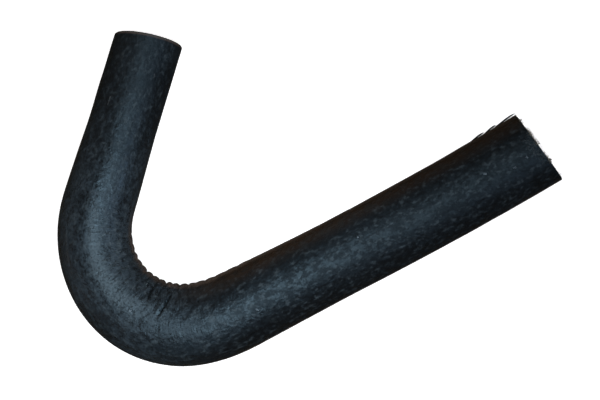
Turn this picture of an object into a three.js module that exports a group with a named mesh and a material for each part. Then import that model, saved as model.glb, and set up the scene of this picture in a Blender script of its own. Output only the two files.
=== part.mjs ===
import * as THREE from 'three';
import { mergeVertices } from 'three/addons/utils/BufferGeometryUtils.js';

// Charge air hose: a moulded elbow of fabric-reinforced rubber, vulcanised into one piece.
// It lies flat on z = 0 with its long leg along +X. The short leg comes back over the bend.
// Lengths are in millimetres and angles in degrees.

// Section of the hose, over the outside. The short end is the narrower one, and the wall is even.
const LONG_LEG_DIAMETER = 60;
const SHORT_END_DIAMETER = 57;
const SHORT_CUFF = 68;
const WALL = 5;
const RIM_BEVEL = 0.7;

// Route of the middle line, from the short end round to the long end.
const SHORT_LEG = 141;
const BEND_RADIUS = 81.5;
const BEND_ANGLE = 117.5;
const EASE_RADIUS = 128;
const EASE_ANGLE = 14.5;
const LONG_LEG = 120;
const BOW_LENGTH = 134;
const BOW_ANGLE = 3;
const END_LENGTH = 12;

// Both ends are cut by hand, a little off square. A positive angle leaves the inner side longer.
const SHORT_CUT_ANGLE = 6;
const LONG_CUT_ANGLE = -5.3;

// The rubber bunches up in the bend, so the wall swells most on the inner side.
const INNER_SWELL = 4.3;
const OUTER_SWELL = 1.8;
const SWELL_LEAD = 20;
const SWELL_TAIL = 107;

// Wrinkles across the inner side of the bend: round crests with sharp valleys between them.
const WRINKLE_COUNT = 19;
const WRINKLE_PITCH = 11.1;
const WRINKLE_LEAD = 23;
const WRINKLE_DEPTH = 1.4;
const WRINKLE_VARIATION = 0.35;
const WRINKLE_VARIATION_RATE = 2.3;
const WRINKLE_FADE = 0.6;

// Fineness of the mesh.
const COLUMNS = 36;
const STATIONS_PER_WRINKLE = 4;
const OUTSIDE_STEP = 20;
const BORE_STEP = 40;
const STEP_ANGLE = 6.5;

const radians = THREE.MathUtils.degToRad;
const clamp = THREE.MathUtils.clamp;

// One stretch of the middle line: its length, and how far its heading turns to the left.
const stretch = (length, turn) => ({ length, turn: radians(turn) });
const arc = (radius, turn) => stretch(radius * radians(turn), turn);

const ROUTE = [
  stretch(SHORT_LEG, 0),
  arc(BEND_RADIUS, BEND_ANGLE),
  arc(EASE_RADIUS, EASE_ANGLE),
  stretch(LONG_LEG, 0),
  stretch(BOW_LENGTH, BOW_ANGLE),
  stretch(END_LENGTH, 0),
];
const HOSE_LENGTH = ROUTE.reduce((sum, part) => sum + part.length, 0);
const BEND_START = SHORT_LEG;
const BEND_END = SHORT_LEG + ROUTE[1].length + ROUTE[2].length;
const FIRST_HEADING = -radians(BEND_ANGLE + EASE_ANGLE);

// Moves a point and heading forward by a distance along a stretch.
function advance(place, part, distance) {
  const turn = part.turn * (distance / part.length);
  const chord = turn === 0 ? distance : distance * Math.sin(turn / 2) / (turn / 2);
  const direction = place.heading + turn / 2;
  return {
    x: place.x + chord * Math.cos(direction),
    y: place.y + chord * Math.sin(direction),
    heading: place.heading + turn,
  };
}

// The middle line at a distance from the short end. The end stretches run on straight past it.
function middleLine(distance) {
  let place = { x: 0, y: 0, heading: FIRST_HEADING };
  let left = distance;
  for (const part of ROUTE) {
    const last = part === ROUTE[ROUTE.length - 1];
    const here = last ? left : Math.min(left, part.length);
    place = advance(place, part, here);
    left -= here;
    if (left <= 0) break;
  }
  return place;
}

// Rises from 0 to 1 and falls back to 0 between two places along the hose.
function hump(distance, from, to) {
  const share = clamp((distance - from) / (to - from), 0, 1);
  return Math.sin(Math.PI * share);
}

// The bore is even along the cuff, and then widens up to the bend.
function boreRadius(distance) {
  const share = THREE.MathUtils.smoothstep(distance, SHORT_CUFF, SHORT_LEG);
  return THREE.MathUtils.lerp(SHORT_END_DIAMETER, LONG_LEG_DIAMETER, share) / 2 - WALL;
}

// How much the bunched rubber thickens the wall. The inner side is where the cosine is 1.
function swell(distance, cosine) {
  const along = hump(distance, BEND_START - SWELL_LEAD, BEND_END + SWELL_TAIL) ** 2;
  return along * (cosine > 0 ? INNER_SWELL : OUTER_SWELL) * cosine ** 2;
}

const WRINKLES_START = BEND_START + WRINKLE_LEAD;
const WRINKLES_END = WRINKLES_START + WRINKLE_COUNT * WRINKLE_PITCH;

// How deep the outside dips between the crests. The wrinkles die out before the top and bottom.
function wrinkle(distance, cosine) {
  if (cosine <= 0) return 0;
  const turn = (distance - WRINKLES_START) / WRINKLE_PITCH;
  const valley = 1 - Math.abs(Math.sin(Math.PI * turn));
  const uneven = 1 + WRINKLE_VARIATION * Math.sin(WRINKLE_VARIATION_RATE * Math.round(turn));
  const along = Math.sqrt(hump(distance, WRINKLES_START, WRINKLES_END));
  return WRINKLE_DEPTH * valley * uneven * along * cosine ** WRINKLE_FADE;
}

// Lengthwise lean of a cross-section, which grows along each leg to the angle of its cut end.
function lean(distance) {
  const toShortEnd = clamp(1 - distance / SHORT_LEG, 0, 1);
  const toLongEnd = clamp(1 - (HOSE_LENGTH - distance) / LONG_LEG, 0, 1);
  return toLongEnd * Math.tan(radians(LONG_CUT_ANGLE)) - toShortEnd * Math.tan(radians(SHORT_CUT_ANGLE));
}

// Even steps from one distance to another, without the last one.
function steps(from, to, count) {
  return Array.from({ length: count }, (_, i) => from + (to - from) * i / count);
}

// Stations that follow the route's stretches, closer together where it turns.
function routeStations(longest) {
  const stations = [];
  let start = 0;
  for (const part of ROUTE) {
    const count = Math.ceil(Math.max(part.length / longest, part.turn / radians(STEP_ANGLE)));
    stations.push(...steps(start, start + part.length, count));
    start += part.length;
  }
  return stations;
}

function outsideStations() {
  const plain = routeStations(OUTSIDE_STEP);
  const gap = WRINKLE_PITCH / STATIONS_PER_WRINKLE;
  const before = plain.filter((d) => d > RIM_BEVEL && d < WRINKLES_START - gap);
  const after = plain.filter((d) => d > WRINKLES_END + gap && d < HOSE_LENGTH - RIM_BEVEL);
  const fine = steps(WRINKLES_START, WRINKLES_END, WRINKLE_COUNT * STATIONS_PER_WRINKLE);
  return [...before, ...fine, WRINKLES_END, ...after];
}

// Closed outline of the wall, as depth in the wall (0 at the bore, 1 outside) over the distance.
function wallOutline() {
  const bevel = RIM_BEVEL / WALL;
  const rim = (depth, distance) => new THREE.Vector2(1 + depth, distance);
  return [
    rim(0, 0),
    rim(1 - bevel, 0),
    rim(1, RIM_BEVEL),
    ...outsideStations().map((d) => rim(1, d)),
    rim(1, HOSE_LENGTH - RIM_BEVEL),
    rim(1 - bevel, HOSE_LENGTH),
    rim(0, HOSE_LENGTH),
    ...routeStations(BORE_STEP).slice(1).reverse().map((d) => rim(0, d)),
    rim(0, 0),
  ];
}

// A straight tube is turned from the outline, and then each of its points is laid along the route.
function hoseGeometry() {
  const geometry = new THREE.LatheGeometry(wallOutline(), COLUMNS);
  geometry.deleteAttribute('normal');
  geometry.deleteAttribute('uv');
  const tube = mergeVertices(geometry);
  const points = tube.getAttribute('position');
  for (let i = 0; i < points.count; i += 1) {
    const depth = Math.hypot(points.getX(i), points.getZ(i)) - 1;
    const distance = points.getY(i);
    const angle = Math.atan2(points.getX(i), points.getZ(i));
    const cosine = Math.cos(angle);
    const wall = WALL + swell(distance, cosine) - wrinkle(distance, cosine);
    const radius = boreRadius(distance) + depth * wall;
    const middle = middleLine(distance + lean(distance) * radius * cosine);
    points.setXYZ(
      i,
      middle.x - Math.sin(middle.heading) * radius * cosine,
      middle.y + Math.cos(middle.heading) * radius * cosine,
      LONG_LEG_DIAMETER / 2 + radius * Math.sin(angle),
    );
  }
  tube.computeVertexNormals();
  return tube;
}

const rubber = new THREE.MeshStandardMaterial({ color: 0x23292f, roughness: 0.62, metalness: 0 });

const hose = new THREE.Mesh(hoseGeometry(), rubber);
hose.name = 'hose';

// The origin is below the middle of the hose's outline.
hose.geometry.computeBoundingBox();
const outlineMiddle = hose.geometry.boundingBox.getCenter(new THREE.Vector3());
hose.geometry.translate(-outlineMiddle.x, -outlineMiddle.y, 0);

const chargeAirHose = new THREE.Group();
chargeAirHose.name = 'charge_air_hose';
chargeAirHose.add(hose);

export default chargeAirHose;
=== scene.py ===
# %% [markdown]
# # A charge air hose in moulded rubber
# The real hose is one piece. Rubber and a woven ply are laid round a bent steel core, wrapped in
# nylon tape, vulcanised and pulled off, and the two ends are cut to length with a knife.
# This lesson dresses the solid that was built for it. The solid stays as it is, and everything here
# is made in the same frame, in metres, with z = 0 as the surface that the hose lies on.

import math
import random

import bmesh
import bpy
import numpy as np
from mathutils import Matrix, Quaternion, Vector, noise


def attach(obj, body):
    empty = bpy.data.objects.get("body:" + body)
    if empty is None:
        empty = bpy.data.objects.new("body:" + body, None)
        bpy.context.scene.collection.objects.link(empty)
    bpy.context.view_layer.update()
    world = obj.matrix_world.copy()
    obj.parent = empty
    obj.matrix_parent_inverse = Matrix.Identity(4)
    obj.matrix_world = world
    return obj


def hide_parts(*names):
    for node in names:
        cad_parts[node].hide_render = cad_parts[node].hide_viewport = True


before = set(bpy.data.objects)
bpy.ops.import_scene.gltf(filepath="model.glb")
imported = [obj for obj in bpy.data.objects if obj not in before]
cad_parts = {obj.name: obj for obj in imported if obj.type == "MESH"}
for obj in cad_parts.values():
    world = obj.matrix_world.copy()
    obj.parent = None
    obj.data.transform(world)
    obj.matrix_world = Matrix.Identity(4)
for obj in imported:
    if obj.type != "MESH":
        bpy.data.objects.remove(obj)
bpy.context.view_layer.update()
MM = 0.001

# %% [markdown]
# ## The camera
# A camera can be placed by hand until the outline fits, or by a target, two angles and a distance.
# The angles are used here, because each of them can then be changed by itself. The long lens keeps
# the two legs at nearly the same scale, and the roll lays the long leg along the picture's slope.

# %% Place the camera
CAMERA_TARGET = Vector((8.8, -57.1, 30.2)) * MM
CAMERA_DISTANCE = 1106.5 * MM
CAMERA_AZIMUTH = math.radians(32.42)
CAMERA_ELEVATION = math.radians(69.85)
CAMERA_ROLL = math.radians(59.03)
LENS = 84


def direction(azimuth, elevation):
    """From the middle towards a place given by its angle round the hose and its angle above the floor."""
    flat = math.cos(elevation)
    return Vector((math.sin(azimuth) * flat, -math.cos(azimuth) * flat, math.sin(elevation)))


def place_camera():
    data = bpy.data.cameras.new("camera")
    data.lens = LENS
    camera = bpy.data.objects.new("camera", data)
    bpy.context.scene.collection.objects.link(camera)
    back = direction(CAMERA_AZIMUTH, CAMERA_ELEVATION)
    camera.location = CAMERA_TARGET + back * CAMERA_DISTANCE
    camera.rotation_mode = "QUATERNION"
    level = (-back).to_track_quat("-Z", "Y")
    camera.rotation_quaternion = level @ Quaternion((0, 0, 1), -CAMERA_ROLL)
    return camera


bpy.context.scene.camera = place_camera()
print("The camera stands at", bpy.context.scene.camera.location)

# %% [markdown]
# ## The floor
# The hose lies on a white sheet. A curved backdrop would do as well, but one large flat sheet fills
# the picture already. A real sheet would throw light back at the rubber's underside and grey it, so
# this one glows by itself and is left out of what the rubber reflects. It lies a hair below z = 0,
# so that it never cuts into the hose.

# %% Pale floor
FLOOR_SIZE = 8.0
FLOOR_DROP = 0.3 * MM
FLOOR_COLOUR = (0.93, 0.93, 0.93, 1)
FLOOR_ROUGHNESS = 0.9
FLOOR_GLOW = 0.95


def floor_finish():
    material = bpy.data.materials.new("floor_white")
    material.use_nodes = True
    shader = material.node_tree.nodes["Principled BSDF"]
    shader.inputs["Base Color"].default_value = FLOOR_COLOUR
    shader.inputs["Roughness"].default_value = FLOOR_ROUGHNESS
    shader.inputs["Emission Color"].default_value = FLOOR_COLOUR
    shader.inputs["Emission Strength"].default_value = FLOOR_GLOW
    return material


def lay_floor():
    sheet = bmesh.new()
    bmesh.ops.create_grid(sheet, x_segments=1, y_segments=1, size=FLOOR_SIZE / 2)
    bmesh.ops.translate(sheet, verts=sheet.verts, vec=(0, 0, -FLOOR_DROP))
    mesh = bpy.data.meshes.new("floor")
    sheet.to_mesh(mesh)
    sheet.free()
    mesh.materials.append(floor_finish())
    floor = bpy.data.objects.new("floor", mesh)
    bpy.context.scene.collection.objects.link(floor)
    floor.visible_diffuse = False
    floor.visible_glossy = False


lay_floor()
print("The floor is", FLOOR_SIZE, "m wide and lies", FLOOR_DROP / MM, "mm below the hose")

# %% [markdown]
# ## The room
# Past the edge of the sheet the camera should see white, but white light from all round would wash
# the black out of the rubber. A Light Path node tells the camera's rays from all the others, so the
# room looks white and still gives only a weak, warm light, which reaches into the open ends.

# %% Pale surroundings
BACKDROP_WHITE = (1, 1, 1, 1)
ROOM_LIGHT = (0.050, 0.042, 0.030, 1)
# A mix node has sockets for numbers, vectors and colours. These are its numbers for colours.
MIX_SHARE, MIX_FIRST, MIX_SECOND, MIX_RESULT = 0, 6, 7, 2


def set_surroundings():
    """A room that looks white, but that throws only a weak, warm light on the hose."""
    world = bpy.data.worlds.new("surroundings")
    world.use_nodes = True
    tree = world.node_tree
    seen = tree.nodes.new("ShaderNodeLightPath").outputs["Is Camera Ray"]
    room = tree.nodes.new("ShaderNodeMix")
    room.data_type = "RGBA"
    room.inputs[MIX_FIRST].default_value = ROOM_LIGHT
    room.inputs[MIX_SECOND].default_value = BACKDROP_WHITE
    tree.links.new(seen, room.inputs[MIX_SHARE])
    tree.links.new(room.outputs[MIX_RESULT], tree.nodes["Background"].inputs["Color"])
    bpy.context.scene.world = world
    bpy.context.scene.view_settings.view_transform = "Standard"


set_surroundings()
print("The room's light, as seen by the rubber:", ROOM_LIGHT[:3])

# %% [markdown]
# ## The lights
# Black rubber shows its form by what it reflects. One large panel would draw the same pale band all
# along the tube, so there are seven soft lights, each with its own job. The key and the one over the
# bend draw the band, the one at the side reaches down the long leg, and the one in the bend lights
# the crook. Three fills keep the flanks from plain black, warm from behind and from the left, and
# cool from in front. Two narrow weak lights shine into the cut ends, which this camera hardly sees.

# %% Soft studio lights
BEND_PLACE = Vector((-0.12, -0.06, 0.03))
LONG_CUT_PLACE = Vector((0.193, -0.110, 0.03))
SHORT_CUT_PLACE = Vector((-0.051, 0.129, 0.03))
NARROW = math.radians(14)
CUT_LIGHT = (1.0, 0.95, 0.90)


def area_light(name, place, size, power, colour, aim=BEND_PLACE, spread=math.pi):
    """A round soft light at a place in metres, of a size in metres and a power in watts."""
    data = bpy.data.lights.new(name, "AREA")
    data.spread = spread
    data.shape = "DISK"
    data.size = size
    data.energy = power
    data.color = colour
    light = bpy.data.objects.new(name, data)
    bpy.context.scene.collection.objects.link(light)
    light.location = place
    light.rotation_mode = "QUATERNION"
    light.rotation_quaternion = (aim - Vector(place)).to_track_quat("-Z", "Y")
    light.visible_camera = False


area_light("key", (-0.077, -0.184, 0.33), 0.32, 1.30, (0.93, 0.98, 1.0))
area_light("over_bend", (-0.02, -0.06, 0.26), 0.20, 0.11, (0.80, 0.92, 1.0))
area_light("in_bend", (0.02, 0.02, 0.10), 0.16, 0.017, (0.80, 0.95, 1.0))
area_light("side", (0.70, -0.60, 0.40), 0.5, 2.5, (0.78, 0.85, 1.0))
area_light("fill_back", (0.05, 0.55, 0.13), 0.4, 0.20, (1.0, 0.74, 0.56))
area_light("fill_front", (-0.35, -0.45, 0.25), 0.4, 0.14, (0.50, 0.80, 1.0))
area_light("fill_left", (-0.50, 0.05, 0.20), 0.4, 0.09, (1.0, 0.80, 0.76))
area_light("into_long_end", (0.62, -0.02, 0.11), 0.06, 0.008, CUT_LIGHT, LONG_CUT_PLACE, NARROW)
area_light("into_short_end", (0.20, 0.50, 0.12), 0.06, 0.008, CUT_LIGHT, SHORT_CUT_PLACE, NARROW)

# %% [markdown]
# ## The hose's middle line
# The route is a short leg, a tight bend, an easier bend and a long leg that bows a little. It could
# be a hand-drawn curve, but a curve's points are hard to change together. Here each stretch is a
# length and a turn, as a pipe bender would note it, and the places follow from them.

# %% Stretches of the route
LONG_LEG_DIAMETER = 60 * MM
SHORT_END_DIAMETER = 57 * MM
SHORT_CUFF = 68 * MM
WALL = 5 * MM
SHORT_LEG = 141 * MM
BEND_RADIUS = 81.5 * MM
BEND_ANGLE = math.radians(117.5)
EASE_RADIUS = 128 * MM
EASE_ANGLE = math.radians(14.5)
LONG_LEG = 120 * MM
BOW_LENGTH = 134 * MM
BOW_ANGLE = math.radians(3)
END_LENGTH = 12 * MM

ROUTE = (
    (SHORT_LEG, 0),
    (BEND_RADIUS * BEND_ANGLE, BEND_ANGLE),
    (EASE_RADIUS * EASE_ANGLE, EASE_ANGLE),
    (LONG_LEG, 0),
    (BOW_LENGTH, BOW_ANGLE),
    (END_LENGTH, 0),
)
HOSE_LENGTH = sum(length for length, turn in ROUTE)
BEND_END = sum(length for length, turn in ROUTE[:3])
FIRST_HEADING = -(BEND_ANGLE + EASE_ANGLE)
SHORT_END_PLACE = Vector((-50.942, 128.601, 30.0)) * MM

print("The middle line is", round(HOSE_LENGTH / MM, 1), "mm long")


# %% Follow the route
def middle_line(distance):
    """Place and heading of the middle line at distances from the short end."""
    x = np.full(distance.shape, SHORT_END_PLACE.x)
    y = np.full(distance.shape, SHORT_END_PLACE.y)
    heading = np.full(distance.shape, FIRST_HEADING)
    left = distance.copy()
    for length, turn in ROUTE:
        is_last = (length, turn) == ROUTE[-1]
        here = left if is_last else np.minimum(left, length)
        half = turn * here / length / 2
        chord = here * np.sinc(half / np.pi)
        x = x + chord * np.cos(heading + half)
        y = y + chord * np.sin(heading + half)
        heading = heading + 2 * half
        left = left - here
    return x, y, heading


# %% [markdown]
# ## Bunched rubber and wrinkles
# Bent round the core, the rubber had too much length on the inner side. It thickened there and
# folded into nineteen small wrinkles, which lean a little and calm down towards the bend's end.
# They could be sculpted, but a formula of distance and angle keeps them even in pitch and lets them
# die out towards the top, as the real ones do. Angle 0 is the inner side of the bend, a quarter turn
# is the top and half a turn the outer side.

# %% Swell of the wall
INNER_SWELL = 4.3 * MM
OUTER_SWELL = 1.8 * MM
SWELL_START = SHORT_LEG - 20 * MM
SWELL_END = BEND_END + 107 * MM


def smooth_step(value, low, high):
    share = np.clip((value - low) / (high - low), 0, 1)
    return share * share * (3 - 2 * share)


def hump(value, start, end):
    return np.sin(np.pi * np.clip((value - start) / (end - start), 0, 1))


def swell(distance, angle):
    """How much the bunched rubber thickens the wall."""
    cosine = np.cos(angle)
    amount = np.where(cosine > 0, INNER_SWELL, OUTER_SWELL)
    return hump(distance, SWELL_START, SWELL_END) ** 2 * amount * cosine**2


def bore_radius(distance):
    """The bore is even along the short end's cuff, and then widens up to the bend."""
    wider = smooth_step(distance, SHORT_CUFF, SHORT_LEG)
    outside = SHORT_END_DIAMETER + (LONG_LEG_DIAMETER - SHORT_END_DIAMETER) * wider
    return outside / 2 - WALL


middle_of_bend = SHORT_LEG + BEND_RADIUS * BEND_ANGLE / 2
print("The wall swells by", round(swell(middle_of_bend, 0.0) / MM, 1), "mm in the middle of the bend")


# %% Wrinkles across the inner side
SKIN_RADIUS = LONG_LEG_DIAMETER / 2
WRINKLE_COUNT = 19
WRINKLE_PITCH = 11.1 * MM
WRINKLES_START = SHORT_LEG + 23 * MM
WRINKLES_END = WRINKLES_START + WRINKLE_COUNT * WRINKLE_PITCH
WRINKLE_DEPTH = 1.7 * MM
WRINKLE_SHARPNESS = 1.1
WRINKLE_VARIATION = 0.35
WRINKLE_VARIATION_RATE = 2.3
WRINKLE_WANDER = 0.16
WANDER_SIZE = 9 * MM
WANDER_SEED = 3
WRINKLE_FADE = 3.0
WRINKLE_SLANT = 0.5
WRINKLES_CALM = (268 * MM, 330 * MM)
CALM_SHARE = 0.5


def lumps(places, size, seed):
    """Smooth noise from -1 to 1 at an array of places, with lumps of about the given size."""
    offset = Vector((seed, seed, seed))
    return np.array([noise.noise(Vector(p) + offset) for p in places / size])


def wrinkles(distance, angle, places):
    """How deep the skin dips between the crests, which wander a little and are uneven in depth."""
    wander = WRINKLE_WANDER * lumps(places, WANDER_SIZE, WANDER_SEED)
    slanted = distance - WRINKLE_SLANT * SKIN_RADIUS * np.sin(angle)
    turn = (slanted - WRINKLES_START) / WRINKLE_PITCH + wander
    valley = (1 - np.abs(np.sin(np.pi * turn))) ** WRINKLE_SHARPNESS
    uneven = 1 + WRINKLE_VARIATION * np.sin(WRINKLE_VARIATION_RATE * np.round(turn))
    calmer = 1 - CALM_SHARE * smooth_step(distance, *WRINKLES_CALM)
    along = np.sqrt(hump(distance, WRINKLES_START, WRINKLES_END)) * calmer
    inner = np.clip(np.cos(angle), 0, 1) ** WRINKLE_FADE
    return WRINKLE_DEPTH * valley * uneven * along * inner


print("The wrinkles run from", round(WRINKLES_START / MM), "to", round(WRINKLES_END / MM), "mm")

# %% [markdown]
# ## Creases and pits
# Near the end of the bend, two wrinkles run on up the side as deep dark creases, with three shallow
# ones and four pits beside them. A formula would spread them evenly, but they are single marks, so
# each is placed one by one.

# %% Marks that stand alone
# Places are a distance in millimetres and an angle in degrees. A width and a depth follow them.
CREASES = (
    ((262, 30), (267, 62), 1.3 * MM, 1.8 * MM),
    ((289, 42), (281.5, 80), 1.4 * MM, 2.0 * MM),
    ((272, 26), (275, 52), 1.1 * MM, 0.8 * MM),
    ((277, 55), (275.5, 75), 1.0 * MM, 0.6 * MM),
    ((298, 26), (296, 52), 1.1 * MM, 0.7 * MM),
)
PITS = (
    ((308, 61), 1.2 * MM, 1.3 * MM),
    ((318.5, 64), 1.3 * MM, 1.3 * MM),
    ((299, 73), 1.0 * MM, 1.1 * MM),
    ((266, 44), 0.8 * MM, 0.5 * MM),
)
CREASE_END_SHARE = 0.35


def flat_place(distance_mm, degrees):
    """A mark's place on the skin as if it were rolled out flat."""
    return Vector((distance_mm * MM, math.radians(degrees) * SKIN_RADIUS))


def crease(along, around, start, end, width):
    """From 0 to 1: how near the skin's points are to a crease that fades towards its two ends."""
    start, end = flat_place(*start), flat_place(*end)
    run = end - start
    share = ((along - start.x) * run.x + (around - start.y) * run.y) / run.length_squared
    inside = np.clip(share, 0, 1)
    gap = np.hypot(along - start.x - inside * run.x, around - start.y - inside * run.y)
    swelling = CREASE_END_SHARE + (1 - CREASE_END_SHARE) * np.sin(np.pi * inside)
    return np.exp(-((gap / width) ** 2)) * swelling


def marks(distance, angle):
    """How deep the creases and pits cut into the skin."""
    around = angle * SKIN_RADIUS
    depth = np.zeros(distance.shape)
    for start, end, width, deep in CREASES:
        depth += deep * crease(distance, around, start, end, width)
    for place, width, deep in PITS:
        centre = flat_place(*place)
        gap = np.hypot(distance - centre.x, around - centre.y)
        depth += deep * np.exp(-((gap / width) ** 2))
    return depth


print("Creases:", len(CREASES), "and pits:", len(PITS))

# %% [markdown]
# ## A straight tube, then the bend
# A hose can be swept along a curve, but a sweep gives little hold on the wrinkles. So the wall's
# outline is drawn first as a wire, cut finely where the wrinkles go, and spun once round the axis.
# That makes a closed tube with both its walls and both its cut ends. Its straight coordinates are
# kept as an attribute, because the finishes follow them, and then each point is laid along the route.

# %% Outline of the wall
FINE_START = 150 * MM
FINE_END = 385 * MM
LEG_STEP = 3.2 * MM
FINE_STEP = 0.8 * MM
BORE_STEP = 6.5 * MM
WALL_STEP = 1.3 * MM
COLUMNS = 160
STRAIGHT_BORE = SKIN_RADIUS - WALL


def cut_evenly(shape, edge, step):
    cuts = round(edge.calc_length() / step) - 1
    bmesh.ops.subdivide_edges(shape, edges=[edge], cuts=cuts)


def wall_outline():
    """The wall's closed outline in the XZ plane, as wire: x is the radius and z the distance."""
    corners = (
        (STRAIGHT_BORE, 0, WALL_STEP),
        (SKIN_RADIUS, 0, LEG_STEP),
        (SKIN_RADIUS, FINE_START, FINE_STEP),
        (SKIN_RADIUS, FINE_END, LEG_STEP),
        (SKIN_RADIUS, HOSE_LENGTH, WALL_STEP),
        (STRAIGHT_BORE, HOSE_LENGTH, BORE_STEP),
    )
    shape = bmesh.new()
    points = [shape.verts.new((x, 0, z)) for x, z, step in corners]
    edges = [shape.edges.new((a, b)) for a, b in zip(points, points[1:] + points[:1])]
    for edge, (x, z, step) in zip(edges, corners):
        cut_evenly(shape, edge, step)
    return shape


shape = wall_outline()
print("The outline has", len(shape.verts), "points")

# %% Spin it and round the rims
OUTER_RIM = 1.1 * MM
INNER_RIM = 0.5 * MM
RIM_SEGMENTS = 3
NEAR = 0.01 * MM


def rim_edges(shape, radius):
    """The edges round both ends at the given radius."""
    def on_rim(vert):
        at_end = min(abs(vert.co.z), abs(vert.co.z - HOSE_LENGTH)) < NEAR
        return at_end and abs(math.hypot(vert.co.x, vert.co.y) - radius) < NEAR

    return [edge for edge in shape.edges if all(on_rim(vert) for vert in edge.verts)]


def round_rim(shape, radius, amount):
    edges = rim_edges(shape, radius)
    rounding = dict(affect="EDGES", segments=RIM_SEGMENTS, profile=0.5, material=-1)
    bmesh.ops.bevel(shape, geom=edges, offset=amount, **rounding)


everything = list(shape.verts) + list(shape.edges)
full_turn = dict(cent=(0, 0, 0), axis=(0, 0, 1), dvec=(0, 0, 0), angle=2 * math.pi, steps=COLUMNS)
bmesh.ops.spin(shape, geom=everything, use_merge=True, use_duplicate=False, **full_turn)
bmesh.ops.remove_doubles(shape, verts=shape.verts, dist=NEAR)
bmesh.ops.recalc_face_normals(shape, faces=shape.faces)
round_rim(shape, SKIN_RADIUS, OUTER_RIM)
round_rim(shape, STRAIGHT_BORE, INNER_RIM)
print("The straight tube has", len(shape.faces), "faces")

# %% [markdown]
# ## Skin, cut and bore
# The knife laid the wall open at both ends, and the inside came off a polished core, so neither
# looks like the skin. Their faces could be picked by hand, but while the tube is straight, a face's
# radius and the way it faces tell which of the three it is, and it is given its finish's number.

# %% Number the faces by their finish
SKIN, CUT, BORE = range(3)
FACES_ALONG = 0.9
MIDDLE_OF_WALL = SKIN_RADIUS - WALL / 2


def finish_number(face):
    if abs(face.normal.z) > FACES_ALONG:
        return CUT
    return BORE if face.calc_center_median().xy.length < MIDDLE_OF_WALL else SKIN


for face in shape.faces:
    face.material_index = finish_number(face)
print("Faces of the two cuts:", sum(face.material_index == CUT for face in shape.faces))

# %% [markdown]
# ## Laying the tube along its route
# Both ends were cut by hand, a little off square, so each cross-section leans more and more towards
# its end. The skin also waves gently, because the nylon wrap pressed it unevenly. The waves leave out
# the underside, so that the hose still rests on its line of contact. A Curve modifier could bend the
# tube, but it knows nothing of the swell and the leaning cuts, so the points are moved here.

# %% Lay points along the route
# A positive angle leaves the inner side longer.
SHORT_CUT_ANGLE = math.radians(6)
LONG_CUT_ANGLE = math.radians(-5.3)
WAVE_HEIGHT = 0.22 * MM
WAVE_SIZE = 17 * MM
WAVE_SEED = 11
# The waves come in between these two sines of the angle.
WAVES_START, WAVES_FULL = -0.7, 0.2


def skin_height(distance, angle, places):
    """How far the outside stands above an even wall, which is less than nothing in a mark."""
    upper = smooth_step(np.sin(angle), WAVES_START, WAVES_FULL)
    wave = WAVE_HEIGHT * lumps(places, WAVE_SIZE, WAVE_SEED) * upper
    return swell(distance, angle) - wrinkles(distance, angle, places) - marks(distance, angle) + wave


def lay_along_route(places, height):
    """Places on the straight tube, moved to where they lie on the bent hose."""
    distance = places[:, 2]
    radius = np.hypot(places[:, 0], places[:, 1])
    angle = np.arctan2(places[:, 1], places[:, 0])
    depth = (radius - STRAIGHT_BORE) / WALL
    radius = bore_radius(distance) + depth * (WALL + height)
    across = radius * np.cos(angle)
    to_short_end = np.clip(1 - distance / SHORT_LEG, 0, 1)
    to_long_end = np.clip(1 - (HOSE_LENGTH - distance) / LONG_LEG, 0, 1)
    lean = to_long_end * math.tan(LONG_CUT_ANGLE) - to_short_end * math.tan(SHORT_CUT_ANGLE)
    x, y, heading = middle_line(distance + lean * across)
    z = SHORT_END_PLACE.z + radius * np.sin(angle)
    return np.column_stack((x - np.sin(heading) * across, y + np.cos(heading) * across, z))


# %% [markdown]
# ## What the finishes read from the mesh
# Once the tube is bent, a pattern on its places in space would cut across the bend. So each point
# keeps its place on the straight tube and how deep a mark it lies in, and a UV map holds the skin
# rolled out flat. An unwrap by seams would stretch it, and here the exact roll-out is known.


# %% Roll out the skin and keep attributes
def roll_out(mesh, angle, distance):
    """A UV map of the tube rolled out flat, in metres: the first axis runs along the hose."""
    corners = len(mesh.loops)
    vertex = np.zeros(corners, np.int32)
    mesh.loops.foreach_get("vertex_index", vertex)
    sizes = np.array([face.loop_total for face in mesh.polygons])
    starts = np.array([face.loop_start for face in mesh.polygons])
    corner_angle = angle[vertex]
    first = np.repeat(corner_angle[starts], sizes)
    corner_angle += 2 * np.pi * np.round((first - corner_angle) / (2 * np.pi))
    places = np.column_stack((distance[vertex], corner_angle * SKIN_RADIUS))
    mesh.uv_layers.new(name="rolled_out").data.foreach_set("uv", places.astype(np.float32).ravel())


def keep_attribute(mesh, name, kind, field, values):
    attribute = mesh.attributes.new(name, kind, "POINT")
    attribute.data.foreach_set(field, np.asarray(values, np.float32).ravel())


# %% Bend the tube
def bend_tube(shape):
    mesh = bpy.data.meshes.new("hose_skin")
    shape.to_mesh(mesh)
    shape.free()
    straight = np.array([vert.co for vert in mesh.vertices])
    angle = np.arctan2(straight[:, 1], straight[:, 0])
    height = skin_height(straight[:, 2], angle, straight)
    mesh.vertices.foreach_set("co", lay_along_route(straight, height).ravel())
    roll_out(mesh, angle, straight[:, 2])
    keep_attribute(mesh, "straight", "FLOAT_VECTOR", "vector", straight)
    keep_attribute(mesh, "dip", "FLOAT", "value", marks(straight[:, 2], angle))
    mesh.update()
    return mesh


hose_mesh = bend_tube(shape)
hose = bpy.data.objects.new("hose_skin", hose_mesh)
bpy.context.scene.collection.objects.link(hose)
hose_mesh.shade_smooth()
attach(hose, "root")
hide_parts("hose")
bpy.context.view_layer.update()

# %% [markdown]
# ## Helpers for the finishes
# A finish is a small tree of nodes. It could be wired by hand in the shader editor, but a tree in code
# can be read from top to bottom. The hose's patterns read its straight coordinates or its rolled-out
# skin, so they follow the bend. These helpers keep the trees short enough to read.


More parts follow.
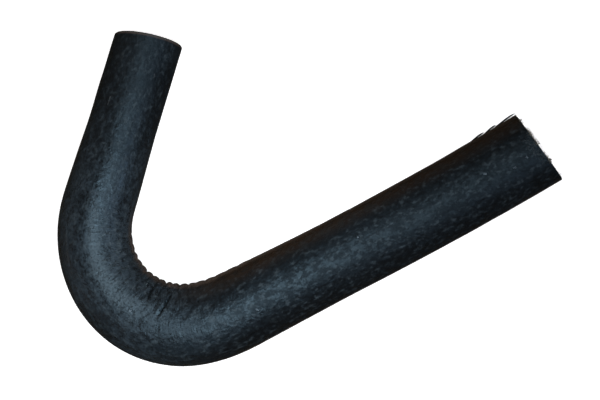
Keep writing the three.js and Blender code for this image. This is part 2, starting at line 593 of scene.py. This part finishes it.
# %% Helpers that add nodes
def new_finish(name):
    """A material's tree and its shader."""
    material = bpy.data.materials.new(name)
    material.use_nodes = True
    tree = material.node_tree
    return material, tree, tree.nodes["Principled BSDF"]


def add_node(tree, kind, inputs, **settings):
    """Adds a node. An input is linked if it is given a socket, and otherwise set to the value."""
    made = tree.nodes.new(kind)
    for name, value in settings.items():
        setattr(made, name, value)
    for key, value in inputs.items():
        if isinstance(value, bpy.types.NodeSocket):
            tree.links.new(value, made.inputs[key])
        else:
            made.inputs[key].default_value = value
    return made


def maths(tree, operation, *values):
    return add_node(tree, "ShaderNodeMath", dict(enumerate(values)), operation=operation).outputs[0]


def vector_maths(tree, operation, output, *values):
    node = add_node(tree, "ShaderNodeVectorMath", dict(enumerate(values)), operation=operation)
    return node.outputs[output]


def times(tree, first, second):
    return maths(tree, "MULTIPLY", first, second)


def straight_coordinates(tree):
    """The place on the straight tube, and its parts: inward, up and the distance along the hose."""
    places = add_node(tree, "ShaderNodeAttribute", {}, attribute_name="straight").outputs["Vector"]
    split = add_node(tree, "ShaderNodeSeparateXYZ", {0: places})
    return places, split.outputs[0], split.outputs[1], split.outputs[2]


# %% Helpers for masks, grain and bump
def fit(tree, value, low, high, to_low=0.0, to_high=1.0):
    """Moves a value from one range into another, softly, and holds it there."""
    inputs = {"Value": value, "From Min": low, "From Max": high, "To Min": to_low, "To Max": to_high}
    node = add_node(tree, "ShaderNodeMapRange", inputs, interpolation_type="SMOOTHSTEP")
    return node.outputs["Result"]


def stretch_of(tree, value, rise, fall):
    """A mask that comes in over one range of a value and goes out again over another."""
    return times(tree, fit(tree, value, *rise), fit(tree, value, *fall))


def mix_colours(tree, share, first, second):
    inputs = {MIX_SHARE: share, MIX_FIRST: first, MIX_SECOND: second}
    return add_node(tree, "ShaderNodeMix", inputs, data_type="RGBA").outputs[MIX_RESULT]


def grain(tree, places, size, stretch=1.0, detail=2.0):
    """Noise from 0 to 1 with grains of a size in metres, drawn out along the hose by a factor."""
    drawn = vector_maths(tree, "MULTIPLY", "Vector", places, (1, 1, 1 / stretch))
    inputs = {"Vector": drawn, "Scale": 1 / size, "Detail": detail}
    return add_node(tree, "ShaderNodeTexNoise", inputs).outputs["Fac"]


def bump(tree, height, distance, below=None):
    """A bent normal for a height whose 1 stands for a distance, over the bump below it."""
    inputs = {"Height": height, "Distance": distance, "Strength": 1.0}
    if below is not None:
        inputs["Normal"] = below
    return add_node(tree, "ShaderNodeBump", inputs).outputs["Normal"]


# %% [markdown]
# ## The bloom, and painted highlights on the elbow
# New rubber is black. This hose has been handled and stored, so a blue-grey dusty bloom lies over
# it in soft blotches with pale flecks. It is thickest in the elbow and thin towards both ends. On
# the elbow's inner flank the bloom and its flecks are made paler still, partly as a painted
# highlight, and a pale band along the upper inner side there is a painted highlight. The bloom could
# be painted on the rolled-out skin, but noise that is read in straight coordinates needs no picture
# and can be changed by a number.

# %% Grain of the skin
BLOTCH = 24 * MM
MOTTLE = 5.0 * MM
SPECK = 1.6 * MM
FLECK = 2.8 * MM

skin, skin_tree, skin_shader = new_finish("rubber_skin")
straight, inward, upward, along = straight_coordinates(skin_tree)
blotches = grain(skin_tree, straight, BLOTCH, stretch=1.6, detail=3)
mottles = grain(skin_tree, straight, MOTTLE, stretch=1.4, detail=4)
specks = grain(skin_tree, straight, SPECK, stretch=1.3, detail=3)
fleck_grain = grain(skin_tree, straight, FLECK, stretch=1.5, detail=4)
print("The skin's grains are", [size / MM for size in (BLOTCH, MOTTLE, FLECK, SPECK)], "mm across")

# %% Where the bloom is thick, with a painted highlight on the elbow's inner flank
RUBBER_BLACK = (0.0035, 0.0038, 0.0046, 1)
BLOOM_BLUE = (0.028, 0.038, 0.048, 1)
# Distances along the hose, in metres, between which a mask comes in and between which it goes out
# again. Two more numbers give its values at the two distances, where they aren't 0 and 1.
ROUND_THE_BEND = ((0.02, 0.15, 0.45, 1), (0.265, 0.36, 1, 0.15))
ELBOW = ((0.12, 0.18), (0.30, 0.23))

cloudy = fit(skin_tree, maths(skin_tree, "ADD", blotches, mottles), 0.86, 1.16)
speckled = fit(skin_tree, specks, 0.42, 0.60)
thick = stretch_of(skin_tree, along, *ROUND_THE_BEND)
in_clouds = maths(skin_tree, "MULTIPLY_ADD", cloudy, 0.55, 0.35)
in_specks = maths(skin_tree, "MULTIPLY_ADD", speckled, 0.6, 0.4)
in_the_elbow = stretch_of(skin_tree, along, *ELBOW)
# The elbow's inner flank gets more bloom and flecks: partly dust, partly a painted highlight.
inner_flank_bloom_and_highlight = times(skin_tree, in_the_elbow, fit(skin_tree, inward, -0.002, 0.014))
thicker_with_flank_highlight = maths(skin_tree, "MULTIPLY_ADD", inner_flank_bloom_and_highlight, 0.9, thick)
bloom_and_flank_highlight = times(skin_tree, times(skin_tree, in_clouds, in_specks), thicker_with_flank_highlight)
clouded = mix_colours(skin_tree, bloom_and_flank_highlight, RUBBER_BLACK, BLOOM_BLUE)

# %% Flecks and a painted highlight along the crest
FLECK_PALE = (0.054, 0.069, 0.080, 1)
CREST_HIGHLIGHT_BLUE = (0.062, 0.082, 0.097, 1)

flecks = fit(skin_tree, fleck_grain, 0.50, 0.68, 0, 0.42)
flecks = times(skin_tree, flecks, fit(skin_tree, mottles, 0.35, 0.60, 0.25, 1.0))
flecks = times(skin_tree, flecks, maths(skin_tree, "MULTIPLY_ADD", inner_flank_bloom_and_highlight, 1.3, 1.0))
flecked = mix_colours(skin_tree, flecks, clouded, FLECK_PALE)

# A pale blue band along the elbow's upper inner side: a painted highlight.
crest_edge = fit(skin_tree, along, 0.16, 0.24, 0.008, 0.0)
past_edge = fit(skin_tree, maths(skin_tree, "SUBTRACT", inward, crest_edge), -0.003, 0.005)
painted_crest_highlight = times(skin_tree, past_edge, fit(skin_tree, inward, 0.018, 0.010))
painted_crest_highlight = times(skin_tree, painted_crest_highlight, in_the_elbow)
crest_highlight = times(skin_tree, painted_crest_highlight, fit(skin_tree, specks, 0.36, 0.60, 0.25, 0.85))
flecked_with_crest_highlight = mix_colours(skin_tree, crest_highlight, flecked, CREST_HIGHLIGHT_BLUE)

# %% [markdown]
# ## Browning, painted warm light, dirt and painted shade
# The inner side of the long leg is darker brown, partly browned rubber and partly a painted warm
# reflection. A pale brown band low on the inside of the J is a painted warm reflection, and one round
# the short end's rim is partly wear and partly a painted highlight. The puckers, creases and pits are
# darkened with dirt and painted shade. Such darkening is often found from the shape by a Pointiness
# node, but here the marks come from a formula, so their depth is known exactly and is read back from
# the attribute.

# %% Browning, a painted warm reflection and a rim highlight
RUBBER_BROWN_AND_WARM_LIGHT = (0.020, 0.010, 0.0045, 1)
PALE_BROWN_LIGHT_AND_WEAR = (0.115, 0.080, 0.064, 1)
SHORT_END_RIM = ((0.5 * MM, 1.2 * MM), (3.0 * MM, 1.6 * MM))

# Brown on the long leg's inner side: partly browned rubber, partly a painted warm reflection.
browning_and_warm_reflection = times(skin_tree, fit(skin_tree, inward, 0.007, 0.025), fit(skin_tree, along, 0.27, 0.37))
browning_and_warm_reflection = times(skin_tree, browning_and_warm_reflection, fit(skin_tree, mottles, 0.35, 0.60, 0.5, 1.0))
browned_and_warm_lit = mix_colours(skin_tree, browning_and_warm_reflection, flecked_with_crest_highlight, RUBBER_BROWN_AND_WARM_LIGHT)

# A pale brown band low on the inner side of the J: a painted warm reflection.
turned = maths(skin_tree, "ARCTAN2", upward, inward)
warm_band_limit = fit(skin_tree, along, 0.14, 0.34, math.radians(-4), math.radians(31))
over_limit = maths(skin_tree, "SUBTRACT", turned, warm_band_limit)
low_warm_reflection = fit(skin_tree, over_limit, math.radians(9), math.radians(-5))
low_warm_reflection = times(skin_tree, low_warm_reflection, fit(skin_tree, along, 0.13, 0.20))
low_warm_reflection = times(skin_tree, low_warm_reflection, fit(skin_tree, along, 0.31, 0.45, 1.0, 0.5))
low_warm_reflection = times(skin_tree, low_warm_reflection, fit(skin_tree, mottles, 0.30, 0.62, 0.35, 1.0))
# A pale brown band round the short end's rim: partly wear, partly a painted highlight.
rim_wear_and_highlight = times(skin_tree, stretch_of(skin_tree, along, *SHORT_END_RIM), 0.55)
warm_light_and_wear = maths(skin_tree, "MAXIMUM", low_warm_reflection, rim_wear_and_highlight)
coloured = mix_colours(skin_tree, warm_light_and_wear, browned_and_warm_lit, PALE_BROWN_LIGHT_AND_WEAR)

# %% Dirt and painted shade in the puckers, creases and pits
# A near black for dirt and painted shade, and for the dark marks and the print.
DIRT_AND_SHADE_BLACK = (0.002, 0.002, 0.0025, 1)
CREPE = 6 * MM
CROOK = ((0.19, 0.23), (0.33, 0.29))

creped = grain(skin_tree, straight, CREPE, stretch=0.26, detail=3)
in_the_crook = stretch_of(skin_tree, along, *CROOK)
puckered = times(skin_tree, in_the_crook, fit(skin_tree, inward, 0.004, 0.018))
# Darker in the hollows of the crepe in the crook: dirt and painted shade.
pucker_dirt_and_shade = times(skin_tree, puckered, fit(skin_tree, creped, 0.50, 0.36, 0.0, 0.75))
grooved = mix_colours(skin_tree, pucker_dirt_and_shade, coloured, DIRT_AND_SHADE_BLACK)
dip = add_node(skin_tree, "ShaderNodeAttribute", {}, attribute_name="dip").outputs["Fac"]
# Darker in the creases and pits: dirt and painted shade.
mark_dirt_and_shade = fit(skin_tree, dip, 0.2 * MM, 1.0 * MM, 0.0, 0.9)
marked = mix_colours(skin_tree, mark_dirt_and_shade, grooved, DIRT_AND_SHADE_BLACK)
print("The skin's colours take", len(skin_tree.nodes), "nodes so far")

# %% [markdown]
# ## Scratches, dashes and a round print
# Handling has left a few single marks as well: pale scratches and ticks, dark dashes, and a round
# print on the short leg. They are too fine for the mesh, so the finish draws them. Each is a line
# over the rolled-out skin, and a point's colour follows from how far it is from the line.

# %% Places of the single marks
# Places are a distance in millimetres and an angle in degrees. After the start and the end of a
# mark come its width in millimetres and its share of the colour.
PALE_MARKS = (
    ((57, 98), (64, 98), 0.6, 0.75),
    ((31, 37), (34, 36), 0.5, 0.45),
    ((163.5, -3), (166, -3), 0.6, 0.9),
    ((176, 0), (178, 0), 0.6, 0.9),
    ((178, 8), (178.5, 8), 0.6, 0.7),
    ((178, 16), (178.5, 16), 0.6, 0.7),
    ((171, 114), (193, 118), 1.3, 0.22),
)
DARK_MARKS = (
    ((33.5, 33), (36, 33), 0.9, 0.9),
    ((17, 32), (20, 32), 1.0, 0.8),
    ((38, 94), (42, 95), 1.0, 0.7),
    ((322, 154), (327, 153), 0.9, 0.8),
    ((342, 147), (349, 146), 0.9, 0.8),
)
SCRATCH_PALE = (0.075, 0.082, 0.088, 1)
PRINT_PLACE = (32, 75)
PRINT_RADIUS = 4.8 * MM
PRINT_WIDTH = 1.1 * MM
print("Single marks:", len(PALE_MARKS), "pale and", len(DARK_MARKS), "dark")


# %% Draw the single marks
def line_mask(tree, rolled, start, end, width, share):
    """The share on the line between two places on the skin, and 0 from its width on."""
    start, end = flat_place(*start), flat_place(*end)
    run = end - start
    from_start = vector_maths(tree, "SUBTRACT", "Vector", rolled, (*start, 0))
    passed = vector_maths(tree, "DOT_PRODUCT", "Value", from_start, (*(run / run.length_squared), 0))
    passed = add_node(tree, "ShaderNodeClamp", {"Value": passed}).outputs[0]
    scaled = {0: (*run, 0), "Scale": passed}
    foot = add_node(tree, "ShaderNodeVectorMath", scaled, operation="SCALE").outputs["Vector"]
    gap = vector_maths(tree, "DISTANCE", "Value", from_start, foot)
    return fit(tree, gap, width * MM, 0.2 * width * MM, 0.0, share)


def all_lines(tree, rolled, lines):
    masks = [line_mask(tree, rolled, *line) for line in lines]
    total = masks[0]
    for mask in masks[1:]:
        total = maths(tree, "MAXIMUM", total, mask)
    return total


rolled = add_node(skin_tree, "ShaderNodeUVMap", {}, uv_map="rolled_out").outputs["UV"]
scratched = mix_colours(skin_tree, all_lines(skin_tree, rolled, PALE_MARKS), marked, SCRATCH_PALE)
from_print = vector_maths(skin_tree, "DISTANCE", "Value", rolled, (*flat_place(*PRINT_PLACE), 0))
off_ring = maths(skin_tree, "ABSOLUTE", maths(skin_tree, "SUBTRACT", from_print, PRINT_RADIUS))
ring = fit(skin_tree, off_ring, PRINT_WIDTH, 0, 0, 0.4)
printed = maths(skin_tree, "MAXIMUM", ring, all_lines(skin_tree, rolled, DARK_MARKS))
finished = mix_colours(skin_tree, printed, scratched, DIRT_AND_SHADE_BLACK)
skin_tree.links.new(finished, skin_shader.inputs["Base Color"])

# %% [markdown]
# ## Gloss
# Greasy places shine and dusty ones are dull. One roughness for the whole skin would be simpler, but
# would look like plastic, so it follows the same grain as the bloom, and both legs get duller away
# from the bend. Fine grooves of the wrap draw the shine out in one direction, which is what
# Anisotropic does, and the tangent from the UV map says how they run.

# %% Roughness and shine
SHINE_LEVEL = 0.42
SHINE_BLUE = (0.52, 0.79, 1.0, 1)
SHINE_STRETCH = 0.85

short_leg_dull = fit(skin_tree, along, 0.01, 0.14, 0.30, 0)
long_leg_dull = fit(skin_tree, along, 0.28, 0.52, 0, 0.26)
legs_dull = maths(skin_tree, "ADD", short_leg_dull, long_leg_dull)
dusted = maths(skin_tree, "MULTIPLY_ADD", specks, 0.7, mottles)
dull = fit(skin_tree, dusted, 0.74, 0.96, 0.27, 0.60)
skin_tree.links.new(maths(skin_tree, "ADD", dull, legs_dull), skin_shader.inputs["Roughness"])
skin_shader.inputs["Specular IOR Level"].default_value = SHINE_LEVEL
skin_shader.inputs["Specular Tint"].default_value = SHINE_BLUE
skin_shader.inputs["Anisotropic"].default_value = SHINE_STRETCH
grooves = add_node(skin_tree, "ShaderNodeTangent", {}, direction_type="UV_MAP", uv_map="rolled_out")
skin_tree.links.new(grooves.outputs["Tangent"], skin_shader.inputs["Tangent"])

# %% [markdown]
# ## The print of the wrap
# The nylon wrap has left its weave and its streaks in the skin, which is dimpled as well, and in the
# bend it is creped and puckered between its wrinkles. All of that is shallow. It could be displaced
# with many more faces, but the outline would hardly change, so each is a bump over the one before.

# %% Weave, crepe, streaks and dimples
WEAVE_PITCH = 1.1 * MM
WEAVE_DEPTH = 0.012 * MM
CREPE_DEPTH = 0.38 * MM
STREAK = 1.3 * MM
STREAK_DEPTH = 0.16 * MM
DIMPLE = 4.0 * MM
DIMPLE_DEPTH = 0.85 * MM
WHOLE_BEND = ((0.10, 0.17), (0.39, 0.33))


def ribs(tree, where, pitch):
    """Even ribs from -1 to 1 across one coordinate."""
    return maths(tree, "SINE", times(tree, where, 2 * math.pi / pitch))


around = times(skin_tree, turned, SKIN_RADIUS)
ribs_along = ribs(skin_tree, along, WEAVE_PITCH)
ribs_around = ribs(skin_tree, around, WEAVE_PITCH)
woven = bump(skin_tree, times(skin_tree, ribs_along, ribs_around), WEAVE_DEPTH)
in_the_bend = stretch_of(skin_tree, along, *WHOLE_BEND)
crepe_share = maths(skin_tree, "MULTIPLY_ADD", in_the_bend, 0.8, 0.2)
crepe_share = maths(skin_tree, "MULTIPLY_ADD", puckered, 2.0, crepe_share)
crinkled = bump(skin_tree, times(skin_tree, creped, crepe_share), CREPE_DEPTH, woven)
streaks = grain(skin_tree, straight, STREAK, stretch=7.0, detail=3)
streaked = bump(skin_tree, streaks, STREAK_DEPTH, crinkled)
dimples = grain(skin_tree, straight, DIMPLE, detail=3)
dimpled = bump(skin_tree, dimples, DIMPLE_DEPTH, streaked)
skin_tree.links.new(dimpled, skin_shader.inputs["Normal"])
hose_mesh.materials.append(skin)
print("The skin's finish has", len(skin_tree.nodes), "nodes")

# %% [markdown]
# ## The cut ends
# A cut through the wall shows dull rubber with fine lines where the knife dragged, and near the middle
# of the wall the ply, whose yarns show as a ring of dots. The ring could be real yarns only, but some
# hardly stand out of the cut, so the dots are coloured here, and the stubs are made further down.

# %% Finish of the cut
CUT_BLACK = (0.012, 0.0115, 0.0115, 1)
CUT_GREY = (0.042, 0.039, 0.037, 1)
PLY_DARK = (0.060, 0.055, 0.045, 1)
PLY_PALE = (0.24, 0.23, 0.20, 1)
YARNS_ROUND = 84
PLY_SHARE = 0.45
PLY_RADIUS = SKIN_RADIUS - PLY_SHARE * WALL
PLY_DOT = (0.55 * MM, 0.3 * MM)
PLY_DOT_DEPTH = 0.25 * MM
KNIFE_LINE = 0.5 * MM
KNIFE_LINE_DEPTH = 0.12 * MM
KNIFE_DRAG = (1, 0.08, 1)
CUT_MOTTLE = 2.2 * MM


def ply_dots(tree, inward, upward):
    """1 on the cut yarns, which are an even ring of dots in the wall."""
    squares = [maths(tree, "POWER", side, 2.0) for side in (inward, upward)]
    radius = maths(tree, "SQRT", maths(tree, "ADD", *squares))
    off_ply = maths(tree, "ABSOLUTE", maths(tree, "SUBTRACT", radius, PLY_RADIUS))
    turns = times(tree, maths(tree, "ARCTAN2", upward, inward), YARNS_ROUND)
    in_the_ring = fit(tree, off_ply, *PLY_DOT)
    return times(tree, in_the_ring, fit(tree, maths(tree, "SINE", turns), -0.5, 0.3))


def cut_finish():
    material, tree, shader = new_finish("cut_rubber")
    places, inward, upward = straight_coordinates(tree)[:3]
    dragged = vector_maths(tree, "MULTIPLY", "Vector", places, KNIFE_DRAG)
    knife = grain(tree, dragged, KNIFE_LINE, detail=3)
    mottled = grain(tree, places, CUT_MOTTLE, detail=4)
    greyer = fit(tree, maths(tree, "ADD", knife, mottled), 0.8, 1.2)
    rubber = mix_colours(tree, greyer, CUT_BLACK, CUT_GREY)
    dots = ply_dots(tree, inward, upward)
    yarn = mix_colours(tree, mottled, PLY_DARK, PLY_PALE)
    tree.links.new(mix_colours(tree, dots, rubber, yarn), shader.inputs["Base Color"])
    tree.links.new(fit(tree, knife, 0.3, 0.7, 0.55, 0.85), shader.inputs["Roughness"])
    scored = bump(tree, knife, KNIFE_LINE_DEPTH)
    tree.links.new(bump(tree, dots, PLY_DOT_DEPTH, scored), shader.inputs["Normal"])
    return material


hose_mesh.materials.append(cut_finish())
print("The ply's yarns end", round(PLY_RADIUS / MM, 2), "mm from the axis")

# %% [markdown]
# ## The bore
# The inside is smoother and blacker than the skin, because the core was polished and waxed. Pulling
# the core out left faint lines along the bore, and a little of the bloom has settled inside too. It
# could share the skin's finish, but hardly any of it shows, so a short tree of its own is enough.

# %% Finish of the bore
BORE_BLACK = (0.0055, 0.0058, 0.0062, 1)
BORE_HAZE = (0.032, 0.035, 0.037, 1)
BORE_LINE = 1.0 * MM
BORE_LINE_DEPTH = 0.05 * MM
BORE_CLOUD = 14 * MM


def bore_finish():
    material, tree, shader = new_finish("bore_rubber")
    places = straight_coordinates(tree)[0]
    drawn = grain(tree, places, BORE_LINE, stretch=30, detail=2)
    hazy = fit(tree, grain(tree, places, BORE_CLOUD, stretch=2, detail=4), 0.42, 0.68)
    tree.links.new(mix_colours(tree, hazy, BORE_BLACK, BORE_HAZE), shader.inputs["Base Color"])
    tree.links.new(fit(tree, drawn, 0.3, 0.7, 0.34, 0.52), shader.inputs["Roughness"])
    tree.links.new(bump(tree, drawn, BORE_LINE_DEPTH), shader.inputs["Normal"])
    return material


hose_mesh.materials.append(bore_finish())
print("Finishes of the hose:", [material.name for material in hose_mesh.materials])

# %% [markdown]
# ## Loose strands
# Yarn ends stand out of both cuts, the long end is frayed, and lint has caught on the skin. Hair
# could make fibres, but here they are only some five hundred and each has its place. So a strand is
# a list of places over the skin, given by distance, angle and lift, and all strands of one kind are
# drawn as one curve with a round section and then made a mesh.

# %% From places over the skin to a curve
STRAND_ROUNDNESS = 1
# With a depth of a half, a point's radius on the curve is the strand's whole thickness there.
STRAND_DEPTH = 0.5


def lay_over_skin(places):
    """Frame places of rows that give a distance, an angle in degrees and a lift above the skin."""
    distance, degrees, lift = np.array(places, float).T
    angle = np.radians(degrees)
    radius = SKIN_RADIUS + lift
    straight = np.column_stack((radius * np.cos(angle), radius * np.sin(angle), distance))
    return lay_along_route(straight, skin_height(distance, angle, straight))


def draw_strands(name, strands):
    """A curve with one spline for each strand. A strand is its rows and its thickness at each row."""
    curve = bpy.data.curves.new(name, "CURVE")
    curve.dimensions = "3D"
    curve.bevel_depth = STRAND_DEPTH
    curve.bevel_resolution = STRAND_ROUNDNESS
    curve.use_fill_caps = True
    for rows, thickness in strands:
        spline = curve.splines.new("POLY")
        spline.points.add(len(rows) - 1)
        for point, place, size in zip(spline.points, lay_over_skin(rows), thickness):
            point.co = (*place, 1)
            point.radius = size
    return curve


# %% From the curve to a piece
SAME_POINT = 0.001 * MM


def make_strands(name, strands, finish):
    holder = bpy.data.objects.new(name, draw_strands(name, strands))
    mesh = bpy.data.meshes.new_from_object(holder)
    bpy.data.objects.remove(holder)
    mesh.name = name
    shape = bmesh.new()
    shape.from_mesh(mesh)
    bmesh.ops.remove_doubles(shape, verts=shape.verts, dist=SAME_POINT)
    bmesh.ops.recalc_face_normals(shape, faces=shape.faces)
    shape.to_mesh(mesh)
    shape.free()
    mesh.materials.clear()
    mesh.materials.append(finish)
    mesh.shade_smooth()
    piece = bpy.data.objects.new(name, mesh)
    bpy.context.scene.collection.objects.link(piece)
    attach(piece, "root")
    print(name, "has", len(strands), "strands and", len(mesh.polygons), "faces")


# %% Finishes of the ply, the yarn and the lint
YARN_DARK = (0.018, 0.024, 0.028, 1)
YARN_PALE = (0.066, 0.092, 0.110, 1)
LINT_DARK = (0.09, 0.115, 0.14, 1)
LINT_PALE = (0.26, 0.33, 0.40, 1)
TWIST = 0.12 * MM
TWIST_DEPTH = 0.03 * MM
FIBRE_ROUGHNESS = 0.9


def fibre_finish(name, dark, pale):
    """A dull fibre whose colour varies along it, with the fine grain of its twist."""
    material, tree, shader = new_finish(name)
    places = add_node(tree, "ShaderNodeTexCoord", {}).outputs["Object"]
    patchy = fit(tree, grain(tree, places, 1.5 * MM, detail=3), 0.35, 0.65)
    twist = grain(tree, places, TWIST, detail=2)
    tree.links.new(mix_colours(tree, patchy, dark, pale), shader.inputs["Base Color"])
    tree.links.new(bump(tree, twist, TWIST_DEPTH), shader.inputs["Normal"])
    shader.inputs["Roughness"].default_value = FIBRE_ROUGHNESS
    return material


ply_finish = fibre_finish("cut_ply", PLY_DARK, PLY_PALE)
yarn_finish = fibre_finish("ply_yarn", YARN_DARK, YARN_PALE)
lint_finish = fibre_finish("lint", LINT_DARK, LINT_PALE)
print("Finishes of the strands:", [finish.name for finish in (ply_finish, yarn_finish, lint_finish)])

# %% [markdown]
# ## Yarn ends in the two cuts
# The ply is one woven tube near the middle of the wall, so its yarns end in an even ring. They stand
# up to 0.6 mm proud, because the rubber sprang back from the knife and the yarn did not. One yarn
# could be copied round by an Array, but then they would all be alike.

# %% Ring of yarn ends
YARN = 0.5 * MM
YARN_PROUD = (0.05, 0.6)
YARN_ROOT = 0.6 * MM
YARN_TIP_SHARE = 0.55
PLY_LIFT = PLY_RADIUS - SKIN_RADIUS
# With a seed, every run draws the same strands.
random.seed(7)


def yarn_end(degrees, cut, outward):
    """A stub that comes out of the cut at a distance. Outward is 1 at the long end, -1 at the short."""
    proud = random.uniform(*YARN_PROUD) * MM
    steps = (-YARN_ROOT, 0, proud / 2, proud)
    drift = random.gauss(0, 0.35)
    rows = [(cut + outward * step, degrees + drift * max(step, 0) / MM, PLY_LIFT) for step in steps]
    return rows, (YARN, YARN, YARN, YARN_TIP_SHARE * YARN)


def ring_of_ends(cut, outward):
    step = 360 / YARNS_ROUND
    ends = []
    for i in range(YARNS_ROUND):
        degrees = step * (i + random.uniform(-0.25, 0.25))
        ends.append(yarn_end(degrees, cut, outward))
    return ends


make_strands("ply_yarn_ends", ring_of_ends(0, -1) + ring_of_ends(HOSE_LENGTH, 1), ply_finish)

# %% [markdown]
# ## The frayed long end
# Handling has teased the ply out of the long end in eight tufts, and broken fibres lie on the skin
# next to the cut. A fibre could be a curve drawn by hand, but there are nearly three hundred, so each
# one walks over the skin in short steps and turns a little at each.

# %% Fibres that wander
FIBRE = 0.17 * MM
CLIMB = 0.15 * MM


def next_lift(lift):
    """On the skin a fibre rises or sinks a little, and from inside the wall it climbs out."""
    if lift > 0:
        return max(lift + random.gauss(0.03, 0.10) * MM, 0.3 * FIBRE)
    return lift + CLIMB


def fibre(distance, degrees, lift, heading, length, curl, steps=7, size=FIBRE):
    """A strand that starts at a place and wanders. Heading 0 runs towards the long end."""
    rows = []
    for i in range(steps + 1):
        rows.append((distance, degrees, lift))
        heading += random.gauss(0, curl)
        distance += math.cos(heading) * length / steps
        degrees += math.degrees(math.sin(heading) * length / steps / SKIN_RADIUS)
        lift = next_lift(lift)
    thickness = [size * random.uniform(0.75, 1.15) for row in rows]
    return rows, thickness


# %% Tufts and broken fibres
# The angle round the hose, the spread in degrees and the number of fibres.
TUFTS = (
    (51, 3, 18),
    (78, 3, 24),
    (87, 5, 44),
    (97, 3, 24),
    (122, 4, 18),
    (129, 3, 26),
    (160, 6, 5),
    (5, 6, 5),
)
TUFT_ROOT = 0.5 * MM
TUFT_FIBRE = 2.2 * FIBRE
# The angle, the spread, the least and the greatest distance from the cut in millimetres, the number.
BROKEN = (
    (98, 9, 0, 8, 60),
    (114, 7, 0, 6, 40),
    (84, 8, 0, 3, 16),
)
BROKEN_LIFT = 0.08 * MM


def tuft(degrees, spread, count):
    for i in range(count):
        deep = random.uniform(-0.6, 0.02) * WALL
        length = random.uniform(1.2, 3.0) * MM
        place = HOSE_LENGTH - TUFT_ROOT, random.gauss(degrees, spread), deep
        yield fibre(*place, random.gauss(0, 0.8), length, curl=0.55, size=TUFT_FIBRE)


def broken_fibres(degrees, spread, nearest, farthest, count):
    for i in range(count):
        back = random.uniform(nearest, farthest) * MM
        length = random.uniform(1.5, 5.0) * MM
        place = HOSE_LENGTH - back, random.gauss(degrees, spread), BROKEN_LIFT
        yield fibre(*place, random.uniform(-math.pi, math.pi), length, curl=0.5)


make_strands("frayed_tufts", [strand for place in TUFTS for strand in tuft(*place)], ply_finish)
loose = [strand for place in BROKEN for strand in broken_fibres(*place)]
make_strands("broken_fibres", loose, yarn_finish)

# %% [markdown]
# ## Peeled slivers
# Along the inner side of the long end the skin has torn into three slivers that lift off towards
# the cut, each over a loose yarn. They could be cut out of the skin, but they are thinner than its
# faces are long, so each is a strand of its own that leaves the skin gently and ends thin.

# %% The slivers and their yarns
# Start and end as distances in millimetres, and the lift in millimetres.
SLIVERS = (
    (567, 578.5, 1.05),
    (578.5, 589.5, 1.1),
    (588, 606.8, 1.25),
)
SLIVER_ANGLE = 21
SLIVER_THICKNESS = 1.25 * MM
SLIVER_STEPS = 9
SLIVER_TAPER = 0.65
UNDER_SHARE = 0.35
UNDER_YARN = 1.6 * FIBRE


def sliver_strand(start, end, lift, thickness):
    """A strand that leaves the skin at its start and stands a lift above it near its end."""
    shares = np.linspace(0, 1, SLIVER_STEPS)
    rise = smooth_step(shares, 0, 0.75)
    rows = [(d * MM, SLIVER_ANGLE, h * MM) for d, h in zip(start + (end - start) * shares, lift * rise)]
    return rows, thickness * (1 - SLIVER_TAPER * np.abs(2 * shares - 1) ** 5)


torn_finish = fibre_finish("torn_rubber", RUBBER_BLACK, CUT_BLACK)
slivers = [sliver_strand(*sliver, SLIVER_THICKNESS) for sliver in SLIVERS]
make_strands("peeled_slivers", slivers, torn_finish)
under = [sliver_strand(start, end, UNDER_SHARE * lift, UNDER_YARN) for start, end, lift in SLIVERS]
make_strands("peeled_yarns", under, yarn_finish)

# %% [markdown]
# ## Caught lint
# Lint clings to the skin at six places. Pale spots in the colour would do from far away, but close
# up they lie flat, so each is a tiny tangle of fibres that walk like the broken ones and curl more.

# %% Tangles of lint
# Places are a distance in millimetres and an angle in degrees.
LINT = ((456.5, 90), (361.5, 115), (256.5, 86), (563, 99), (583.5, 112), (594.5, 108))
LINT_SIZE = 1.1 * MM
LINT_LIFT = 0.12 * MM
LINT_FIBRES = 9


def tangle(distance, degrees):
    for i in range(LINT_FIBRES):
        place = distance * MM + random.gauss(0, 0.3) * MM, degrees + random.gauss(0, 0.6), LINT_LIFT
        heading = random.uniform(-math.pi, math.pi)
        length = random.uniform(0.7, 1.5) * LINT_SIZE
        yield fibre(*place, heading, length, curl=0.9, steps=5)


make_strands("lint", [strand for place in LINT for strand in tangle(*place)], lint_finish)
